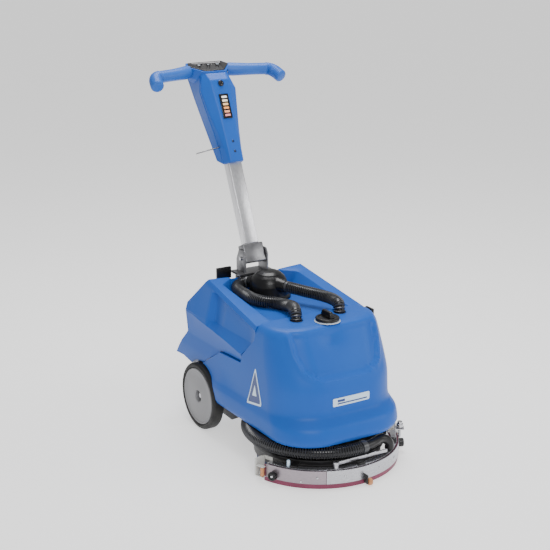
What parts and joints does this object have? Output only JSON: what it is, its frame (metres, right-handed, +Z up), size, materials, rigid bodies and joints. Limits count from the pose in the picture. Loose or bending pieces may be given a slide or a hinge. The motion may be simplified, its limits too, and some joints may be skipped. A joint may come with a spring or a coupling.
{
  "type": "wet dry floor scrubber",
  "caption": "Walk-behind battery floor scrubber with a round brush deck, a squeegee that swings round it, moulded tanks, rear wheels and a folding T-handle",
  "frame": {"origin": "on the floor, under the middle of the machine's bounding box", "axes": "+Z up and the machine's longest extent, +Y towards the operator's end, -Y the brush end, +X the operator's left"},
  "size_m": [0.4638, 0.8904, 0.9944],
  "materials": {
    "blue_plastic": "moulded, fine satin grain",
    "black_plastic": "moulded, satin",
    "black_rubber": "matt",
    "tyre_rubber": "matt",
    "wheel_grey": "moulded, satin",
    "aluminium": "drawn and cut sheet, satin",
    "steel": "bright",
    "black_steel": "powder coated",
    "blade_red": "smooth",
    "roller_orange": "moulded polyurethane",
    "pale_plastic": "moulded, satin",
    "bristle": "bristle",
    "battery_grey": "moulded case",
    "display_black": "gloss"
  },
  "bodies": {
    "chassis": {"chassis_frame": "black_steel", "rear_upright": "black_steel", "rear_axle": "steel", "main_tank": "blue_plastic", "recovery_tank": "blue_plastic", "vacuum_dome": "black_plastic", "fill_neck_ring": "pale_plastic", "vacuum_hose_left": "black_rubber", "vacuum_hose_right": "black_rubber", "battery_pack": "battery_grey", "vacuum_motor": "black_plastic", "brush_motor": "steel", "deck_housing": "black_plastic", "suction_elbow": "black_plastic", "hinge_bracket": "steel", "hinge_pin": "steel"},
    "left_wheel": {"wheel_left": "wheel_grey", "tyre_left": "tyre_rubber"},
    "right_wheel": {"wheel_right": "wheel_grey", "tyre_right": "tyre_rubber"},
    "brush": {"drive_hub": "steel", "brush_disc": "blue_plastic", "brush_bristles": "bristle"},
    "squeegee": {"orbit_ring": "black_steel", "squeegee_rail": "aluminium", "outer_blade": "blade_red", "inner_blade": "blade_red", "outer_strap_left": "aluminium", "outer_strap_right": "aluminium", "inner_strap": "aluminium", "roller_bracket_left": "aluminium", "roller_bracket_right": "aluminium", "front_roller_bracket": "black_steel", "lever_post": "steel", "adjuster_bracket": "aluminium", "suction_pipe": "black_plastic", "squeegee_hose": "black_rubber"},
    "handle": {"post_foot": "aluminium", "handle_post": "aluminium", "console_front_cover": "blue_plastic", "console_rear_cover": "blue_plastic", "display_panel": "display_black", "charge_display": "display_black", "grip_left": "blue_plastic", "grip_right": "blue_plastic"},
    "strap_knob_left_body": {"strap_knob_left": "black_plastic"},
    "strap_knob_right_body": {"strap_knob_right": "black_plastic"},
    "guide_roller_left_body": {"guide_roller_left": "roller_orange"},
    "guide_roller_right_body": {"guide_roller_right": "roller_orange"},
    "front_roller_body": {"front_roller": "roller_orange"},
    "swing_lever_body": {"swing_lever": "aluminium"},
    "adjuster_screw_body": {"adjuster_screw": "steel"},
    "fill_cap_body": {"fill_cap": "black_plastic"},
    "tank_latch_body": {"tank_latch": "black_plastic"},
    "fold_lock_lever_body": {"fold_lock_lever": "black_plastic"},
    "release_lever_body": {"release_lever": "steel"},
    "button_1_body": {"button_1": "black_plastic"},
    "button_2_body": {"button_2": "black_plastic"},
    "button_3_body": {"button_3": "black_plastic"},
    "power_button_body": {"power_button": "black_plastic"}
  },
  "joints": [
    {"name": "handle_fold", "type": "hinge", "parent": "chassis", "child": "handle", "pos_m": [0, 0.135, 0.475], "axis": [1, 0, 0], "range_deg": [0, 105]},
    {"name": "wheel_left_spin", "type": "hinge", "parent": "chassis", "child": "left_wheel", "pos_m": [0.176, 0.12, 0.0965], "axis": [1, 0, 0], "continuous": true},
    {"name": "wheel_right_spin", "type": "hinge", "parent": "chassis", "child": "right_wheel", "pos_m": [-0.176, 0.12, 0.0965], "axis": [1, 0, 0], "continuous": true},
    {"name": "brush_spin", "type": "hinge", "parent": "chassis", "child": "brush", "pos_m": [0, -0.205, 0.06], "axis": [0, 0, 1], "continuous": true},
    {"name": "squeegee_orbit", "type": "hinge", "parent": "chassis", "child": "squeegee", "pos_m": [0, -0.205, 0.057], "axis": [0, 0, 1], "range_deg": [-90, 90], "deforming": ["squeegee_hose"]},
    {"name": "lever_swing", "type": "hinge", "parent": "squeegee", "child": "swing_lever_body", "pos_m": [-0.07, -0.40034, 0.065], "axis": [0, 0, 1], "range_deg": [-100, 0]},
    {"name": "strap_knob_left_turn", "type": "hinge", "parent": "squeegee", "child": "strap_knob_left_body", "pos_m": [0.20458, -0.30924, 0.026], "axis": [0.891, -0.454, 0], "continuous": true},
    {"name": "strap_knob_right_turn", "type": "hinge", "parent": "squeegee", "child": "strap_knob_right_body", "pos_m": [-0.20458, -0.30924, 0.026], "axis": [-0.891, -0.454, 0], "continuous": true},
    {"name": "guide_roller_left_spin", "type": "hinge", "parent": "squeegee", "child": "guide_roller_left_body", "pos_m": [0.21669, -0.2775, 0.0285], "axis": [0, 0, 1], "continuous": true},
    {"name": "guide_roller_right_spin", "type": "hinge", "parent": "squeegee", "child": "guide_roller_right_body", "pos_m": [-0.21669, -0.2775, 0.0285], "axis": [0, 0, 1], "continuous": true},
    {"name": "front_roller_spin", "type": "hinge", "parent": "squeegee", "child": "front_roller_body", "pos_m": [0.0105, -0.4378, 0.01], "axis": [1, 0, 0], "continuous": true},
    {"name": "adjuster_turn", "type": "hinge", "parent": "squeegee", "child": "adjuster_screw_body", "pos_m": [0.1866, -0.32618, 0.075], "axis": [0, 0, 1], "continuous": true},
    {"name": "fill_cap_turn", "type": "hinge", "parent": "chassis", "child": "fill_cap_body", "pos_m": [0, -0.248, 0.395], "axis": [0, 0, 1], "range_deg": [0, 180]},
    {"name": "tank_latch_swing", "type": "hinge", "parent": "chassis", "child": "tank_latch_body", "pos_m": [0.1745, -0.19, 0.364], "axis": [0, 1, 0], "range_deg": [0, 60]},
    {"name": "fold_lock_swing", "type": "hinge", "parent": "chassis", "child": "fold_lock_lever_body", "pos_m": [-0.0555, 0.163, 0.433], "axis": [1, 0, 0], "range_deg": [-25, 0]},
    {"name": "release_lever_lift", "type": "hinge", "parent": "handle", "child": "release_lever_body", "pos_m": [-0.0335, 0.26252, 0.77125], "axis": [0, 0.9135, -0.4067], "range_deg": [0, 20], "stiffness_Nm_per_rad": 0.5},
    {"name": "button_1_press", "type": "slide", "parent": "handle", "child": "button_1_body", "axis": [0, 0.2453, -0.9694], "range_m": [0, 0.001], "stiffness_N_per_m": 1500},
    {"name": "button_2_press", "type": "slide", "parent": "handle", "child": "button_2_body", "axis": [0, 0.2453, -0.9694], "range_m": [0, 0.001], "stiffness_N_per_m": 1500},
    {"name": "button_3_press", "type": "slide", "parent": "handle", "child": "button_3_body", "axis": [0, 0.2453, -0.9694], "range_m": [0, 0.001], "stiffness_N_per_m": 1500},
    {"name": "power_button_press", "type": "slide", "parent": "handle", "child": "power_button_body", "axis": [0, 0.9135, -0.4067], "range_m": [0, 0.001], "stiffness_N_per_m": 1500}
  ]
}
